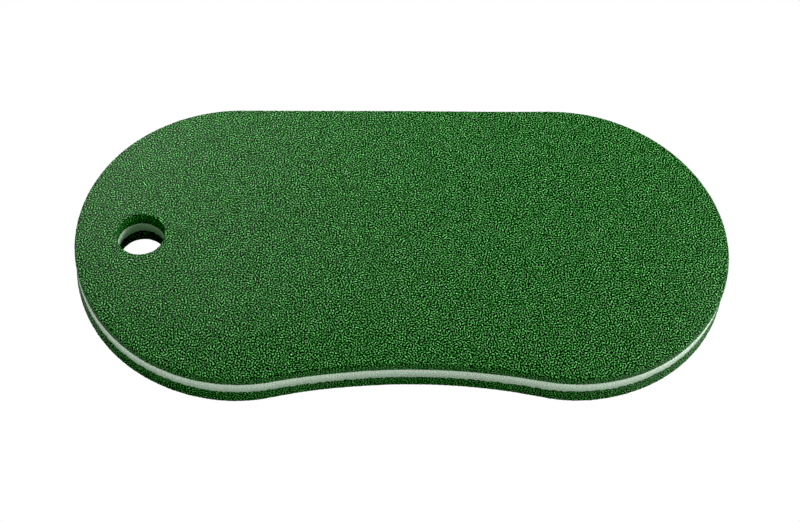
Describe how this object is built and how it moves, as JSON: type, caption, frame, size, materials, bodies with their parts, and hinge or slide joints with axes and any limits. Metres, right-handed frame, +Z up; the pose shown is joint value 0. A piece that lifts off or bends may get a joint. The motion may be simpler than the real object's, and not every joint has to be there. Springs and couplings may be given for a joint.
{
  "type": "foam kneeling pad",
  "caption": "Kidney-shaped foam kneeling pad: a bonded sandwich of green, white and green sheets with a hollow waist on one long edge and a round hanging hole near one end.",
  "frame": {"origin": "centre of the underside's bounding rectangle, on the face the pad lies on", "axes": "+X along the length, with the hanging hole near the -X end; +Y towards the straight long edge, so the hollow waist faces -Y; +Z up, from the underside to the kneeling face"},
  "size_m": [0.4, 0.2, 0.027],
  "materials": {
    "green_foam": "matte closed-cell foam with a fine pebbled grain",
    "white_foam": "matte closed-cell foam with a fine pebbled grain",
    "glue": "dull translucent film"
  },
  "bodies": {
    "root": {"bottom_foam_sheet": "green_foam", "lower_glue_film": "glue", "middle_foam_sheet": "white_foam", "upper_glue_film": "glue", "top_foam_sheet": "green_foam"}
  },
  "joints": []
}
